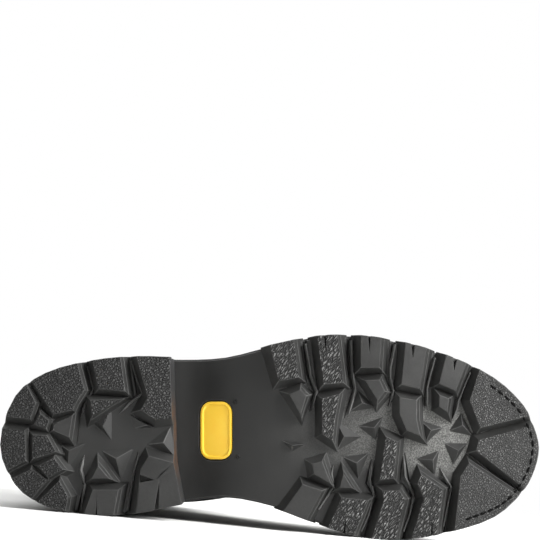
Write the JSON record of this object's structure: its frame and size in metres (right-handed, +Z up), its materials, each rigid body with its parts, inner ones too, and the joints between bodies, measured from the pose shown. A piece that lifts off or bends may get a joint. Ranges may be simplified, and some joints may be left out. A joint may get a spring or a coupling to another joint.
{
  "type": "lace-up work boot",
  "caption": "Black lace-up work boot for the right foot, lying on its inner side with its deep lugged rubber sole upright; hollow leather upper, separate heel and welt.",
  "frame": {"origin": "centre of the bounding box on the floor, with the boot lying on its inner side", "axes": "+X towards the toe, -Y the way the tread faces, +Z up through the outer side of the boot"},
  "size_m": [0.305, 0.2652, 0.114],
  "materials": {
    "sole_rubber": "moulded black rubber, grained lug faces",
    "sole_plug": "plain yellow, satin",
    "welt_leather": "black edge, waxed",
    "footbed": "plain footbed cover",
    "upper_leather": "black, low sheen, fine grain",
    "tongue_leather": "soft black, fine grain",
    "lace_cord": "braided black cord",
    "eyelet_metal": "aged, satin"
  },
  "bodies": {
    "root": {"outsole": "sole_rubber", "heel": "sole_rubber", "sole_inlay": "sole_plug", "welt": "welt_leather", "insole": "footbed", "upper": "upper_leather", "counter": "upper_leather", "tongue": "tongue_leather", "lace": "lace_cord", "eyelet_lateral_1": "eyelet_metal", "eyelet_lateral_2": "eyelet_metal", "eyelet_lateral_3": "eyelet_metal", "eyelet_lateral_4": "eyelet_metal", "eyelet_lateral_5": "eyelet_metal", "eyelet_lateral_6": "eyelet_metal", "eyelet_lateral_7": "eyelet_metal", "eyelet_lateral_8": "eyelet_metal", "eyelet_medial_1": "eyelet_metal", "eyelet_medial_2": "eyelet_metal", "eyelet_medial_3": "eyelet_metal", "eyelet_medial_4": "eyelet_metal", "eyelet_medial_5": "eyelet_metal", "eyelet_medial_6": "eyelet_metal", "eyelet_medial_7": "eyelet_metal", "eyelet_medial_8": "eyelet_metal"}
  },
  "joints": []
}
